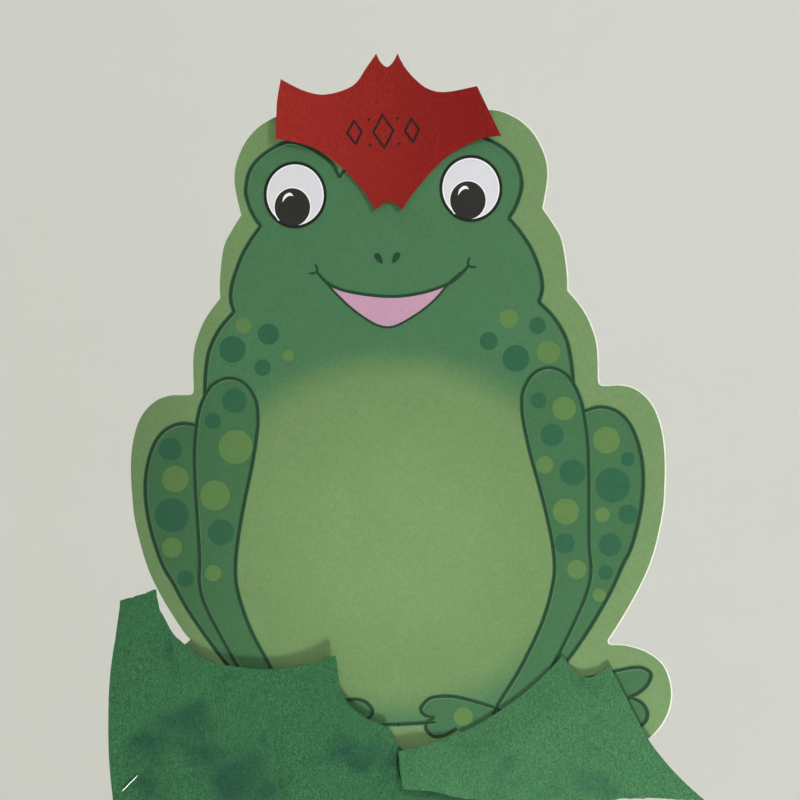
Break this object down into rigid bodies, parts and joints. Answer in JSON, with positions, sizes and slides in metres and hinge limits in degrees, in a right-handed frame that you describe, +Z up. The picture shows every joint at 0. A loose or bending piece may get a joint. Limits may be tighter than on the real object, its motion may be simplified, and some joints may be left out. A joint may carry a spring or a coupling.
{
  "type": "paper bag puppet",
  "caption": "Paper bag hand puppet with a die-cut frog card on its flap, a red paper crown and green paper leaves; the flap lifts as a mouth and the bag opens for a hand.",
  "frame": {"origin": "middle of the bag's rim, where the hand goes in", "axes": "+Z up along the bag to the head, the frog faces -Y, +X to the right as seen from the front"},
  "size_m": [0.341, 0.0559, 0.436],
  "materials": {
    "kraft_paper": "matt brown kraft, 80 g, with creases",
    "printed_card": "satin printed face in greens, grey-white back, white cut edge",
    "crown_paper": "matt fibrous red construction paper",
    "left_leaf_paper": "matt fibrous green construction paper with darker stains and torn edges",
    "right_leaf_paper": "matt fibrous green construction paper with torn edges",
    "foam_tape": "white double-sided tape",
    "staple_steel": "zinc-plated wire with a rust spot"
  },
  "bodies": {
    "bag_front": {"front_panel": "kraft_paper"},
    "bag_back": {"back_panel": "kraft_paper", "seam_strip": "kraft_paper"},
    "gusset_left_front": {"gusset_left_front": "kraft_paper"},
    "gusset_right_front": {"gusset_right_front": "kraft_paper"},
    "gusset_left_rear": {"gusset_left_rear": "kraft_paper"},
    "gusset_right_rear": {"gusset_right_rear": "kraft_paper"},
    "head": {"palate": "kraft_paper", "head_back": "kraft_paper", "head_gusset_left": "kraft_paper", "head_gusset_right": "kraft_paper", "tuck_left": "kraft_paper", "tuck_right": "kraft_paper", "inner_flap": "kraft_paper", "outer_flap": "kraft_paper", "card_tape_upper": "foam_tape", "card_tape_lower": "foam_tape", "frog_card": "printed_card", "crown_pad": "foam_tape", "crown": "crown_paper", "left_leaf_pad_outer": "foam_tape", "left_leaf_pad_inner": "foam_tape", "right_leaf_pad_outer": "foam_tape", "right_leaf_pad_inner": "foam_tape", "left_leaf": "left_leaf_paper", "right_leaf": "right_leaf_paper", "staple": "staple_steel"}
  },
  "joints": [
    {"name": "head_tilt", "type": "hinge", "parent": "bag_front", "child": "head", "pos_m": [0, -0.0204, 0.226], "axis": [-1, 0, 0], "range_deg": [0, 65]},
    {"name": "bag_open", "type": "hinge", "parent": "bag_front", "child": "bag_back", "pos_m": [0, -0.02, 0.258], "axis": [1, 0, 0], "range_deg": [-5, 4]},
    {"name": "gusset_left_front_fold", "type": "hinge", "parent": "bag_front", "child": "gusset_left_front", "pos_m": [-0.0646, -0.01965, 0.1], "axis": [0, 0, 1], "range_deg": [-18, 15]},
    {"name": "gusset_right_front_fold", "type": "hinge", "parent": "bag_front", "child": "gusset_right_front", "pos_m": [0.0646, -0.01965, 0.1], "axis": [0, 0, 1], "range_deg": [-15, 18]},
    {"name": "gusset_left_rear_fold", "type": "hinge", "parent": "bag_back", "child": "gusset_left_rear", "pos_m": [-0.0646, 0.00386, 0.10181], "axis": [0, -0.1532, 0.9882], "range_deg": [-15, 18]},
    {"name": "gusset_right_rear_fold", "type": "hinge", "parent": "bag_back", "child": "gusset_right_rear", "pos_m": [0.0646, 0.00386, 0.10181], "axis": [0, -0.1532, 0.9882], "range_deg": [-18, 15]}
  ],
  "couplings": [
    {"joint": "gusset_left_front_fold", "follows": "bag_open", "ratio": 3.55},
    {"joint": "gusset_right_front_fold", "follows": "bag_open", "ratio": -3.55},
    {"joint": "gusset_left_rear_fold", "follows": "bag_open", "ratio": -3.55},
    {"joint": "gusset_right_rear_fold", "follows": "bag_open", "ratio": 3.55}
  ]
}
